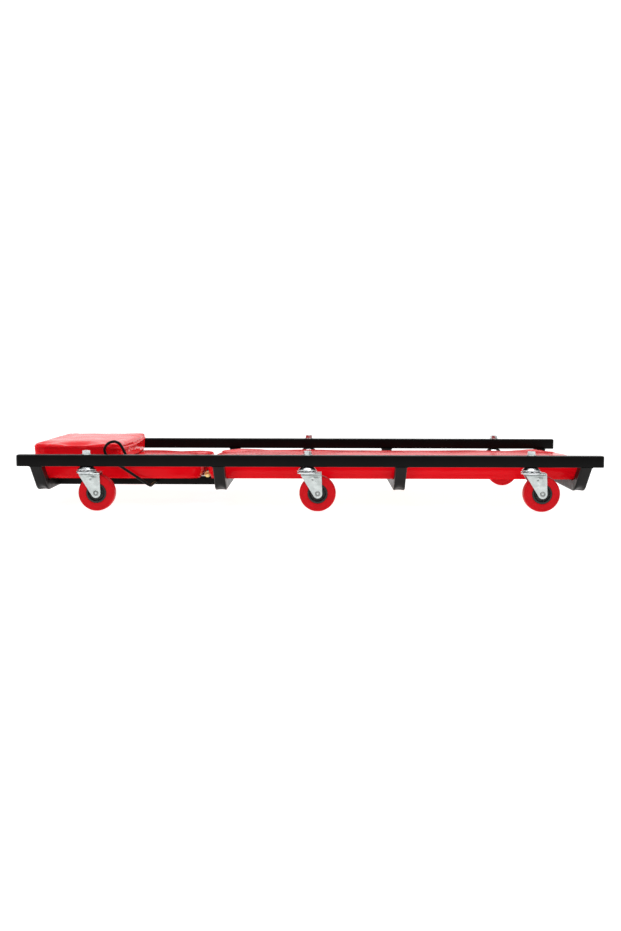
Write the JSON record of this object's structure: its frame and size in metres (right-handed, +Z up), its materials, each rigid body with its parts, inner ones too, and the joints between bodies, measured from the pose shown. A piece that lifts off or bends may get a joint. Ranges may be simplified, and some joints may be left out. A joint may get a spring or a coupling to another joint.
{
  "type": "mechanics creeper",
  "caption": "Low roll-about mechanic's creeper: square-tube frame on swivel casters, padded bed and a hinged padded headrest lifted by a wire lever.",
  "frame": {"origin": "middle of the footprint, on the floor under the wheels", "axes": "+X along the length towards the foot end, -X is the head end; +Y to the far side, -Y is the side with the lever; +Z up"},
  "size_m": [1.016, 0.449, 0.1193],
  "materials": {
    "frame_black": "gloss",
    "rod_black": "satin",
    "zinc": "satin",
    "yellow_zinc": "satin",
    "red_vinyl": "gloss",
    "red_tread": "satin",
    "black_plastic": "satin",
    "plywood": "matte"
  },
  "bodies": {
    "frame": {"side_rail_near": "frame_black", "rail_end_cap_head_near": "black_plastic", "rail_end_cap_foot_near": "black_plastic", "side_rail_far": "frame_black", "rail_end_cap_head_far": "black_plastic", "rail_end_cap_foot_far": "black_plastic", "cross_member_head_end": "frame_black", "cross_member_head_hinge": "frame_black", "cross_member_bed_middle": "frame_black", "cross_member_foot_end": "frame_black", "headrest_bar_near": "frame_black", "hinge_bracket_near": "frame_black", "hinge_bolt_near": "yellow_zinc", "headrest_bar_far": "frame_black", "hinge_bracket_far": "frame_black", "hinge_bolt_far": "yellow_zinc", "bed_board": "plywood", "bed_pad": "red_vinyl", "caster_stem_head_near": "zinc", "caster_nut_head_near": "zinc", "caster_stem_head_far": "zinc", "caster_nut_head_far": "zinc", "caster_stem_middle_near": "zinc", "caster_nut_middle_near": "zinc", "caster_stem_middle_far": "zinc", "caster_nut_middle_far": "zinc", "caster_stem_foot_near": "zinc", "caster_nut_foot_near": "zinc", "caster_stem_foot_far": "zinc", "caster_nut_foot_far": "zinc"},
    "headrest": {"hinge_leaf_near": "zinc", "hinge_leaf_far": "zinc", "headrest_board": "plywood", "headrest_pad": "red_vinyl", "head_pillow": "red_vinyl"},
    "lever": {"lift_lever": "rod_black"},
    "swivel_head_near": {"caster_fork_head_near": "zinc", "caster_axle_head_near": "zinc"},
    "wheel_head_near": {"caster_hub_head_near": "black_plastic", "caster_tread_head_near": "red_tread"},
    "swivel_head_far": {"caster_fork_head_far": "zinc", "caster_axle_head_far": "zinc"},
    "wheel_head_far": {"caster_hub_head_far": "black_plastic", "caster_tread_head_far": "red_tread"},
    "swivel_middle_near": {"caster_fork_middle_near": "zinc", "caster_axle_middle_near": "zinc"},
    "wheel_middle_near": {"caster_hub_middle_near": "black_plastic", "caster_tread_middle_near": "red_tread"},
    "swivel_middle_far": {"caster_fork_middle_far": "zinc", "caster_axle_middle_far": "zinc"},
    "wheel_middle_far": {"caster_hub_middle_far": "black_plastic", "caster_tread_middle_far": "red_tread"},
    "swivel_foot_near": {"caster_fork_foot_near": "zinc", "caster_axle_foot_near": "zinc"},
    "wheel_foot_near": {"caster_hub_foot_near": "black_plastic", "caster_tread_foot_near": "red_tread"},
    "swivel_foot_far": {"caster_fork_foot_far": "zinc", "caster_axle_foot_far": "zinc"},
    "wheel_foot_far": {"caster_hub_foot_far": "black_plastic", "caster_tread_foot_far": "red_tread"}
  },
  "joints": [
    {"name": "headrest_tilt", "type": "hinge", "parent": "frame", "child": "headrest", "pos_m": [-0.1895, 0, 0.0515], "axis": [0, 1, 0], "range_deg": [0, 16]},
    {"name": "lever_swing", "type": "hinge", "parent": "frame", "child": "lever", "pos_m": [-0.2844, 0, 0.038], "axis": [0, 1, 0], "range_deg": [0, 70]},
    {"name": "swivel_head_near", "type": "hinge", "parent": "frame", "child": "swivel_head_near", "pos_m": [-0.388, -0.2065, 0.07], "axis": [0, 0, 1], "continuous": true},
    {"name": "wheel_head_near", "type": "hinge", "parent": "swivel_head_near", "child": "wheel_head_near", "pos_m": [-0.37, -0.2065, 0.03175], "axis": [0, 1, 0], "continuous": true},
    {"name": "swivel_head_far", "type": "hinge", "parent": "frame", "child": "swivel_head_far", "pos_m": [-0.388, 0.2065, 0.07], "axis": [0, 0, 1], "continuous": true},
    {"name": "wheel_head_far", "type": "hinge", "parent": "swivel_head_far", "child": "wheel_head_far", "pos_m": [-0.37, 0.2065, 0.03175], "axis": [0, 1, 0], "continuous": true},
    {"name": "swivel_middle_near", "type": "hinge", "parent": "frame", "child": "swivel_middle_near", "pos_m": [-0.0045, -0.2065, 0.07], "axis": [0, 0, 1], "continuous": true},
    {"name": "wheel_middle_near", "type": "hinge", "parent": "swivel_middle_near", "child": "wheel_middle_near", "pos_m": [0.0135, -0.2065, 0.03175], "axis": [0, 1, 0], "continuous": true},
    {"name": "swivel_middle_far", "type": "hinge", "parent": "frame", "child": "swivel_middle_far", "pos_m": [-0.0045, 0.2065, 0.07], "axis": [0, 0, 1], "continuous": true},
    {"name": "wheel_middle_far", "type": "hinge", "parent": "swivel_middle_far", "child": "wheel_middle_far", "pos_m": [0.0135, 0.2065, 0.03175], "axis": [0, 1, 0], "continuous": true},
    {"name": "swivel_foot_near", "type": "hinge", "parent": "frame", "child": "swivel_foot_near", "pos_m": [0.384, -0.2065, 0.07], "axis": [0, 0, 1], "continuous": true},
    {"name": "wheel_foot_near", "type": "hinge", "parent": "swivel_foot_near", "child": "wheel_foot_near", "pos_m": [0.402, -0.2065, 0.03175], "axis": [0, 1, 0], "continuous": true},
    {"name": "swivel_foot_far", "type": "hinge", "parent": "frame", "child": "swivel_foot_far", "pos_m": [0.384, 0.2065, 0.07], "axis": [0, 0, 1], "continuous": true},
    {"name": "wheel_foot_far", "type": "hinge", "parent": "swivel_foot_far", "child": "wheel_foot_far", "pos_m": [0.402, 0.2065, 0.03175], "axis": [0, 1, 0], "continuous": true}
  ],
  "couplings": [
    {"joint": "lever_swing", "follows": "headrest_tilt", "ratio": 4.375}
  ]
}
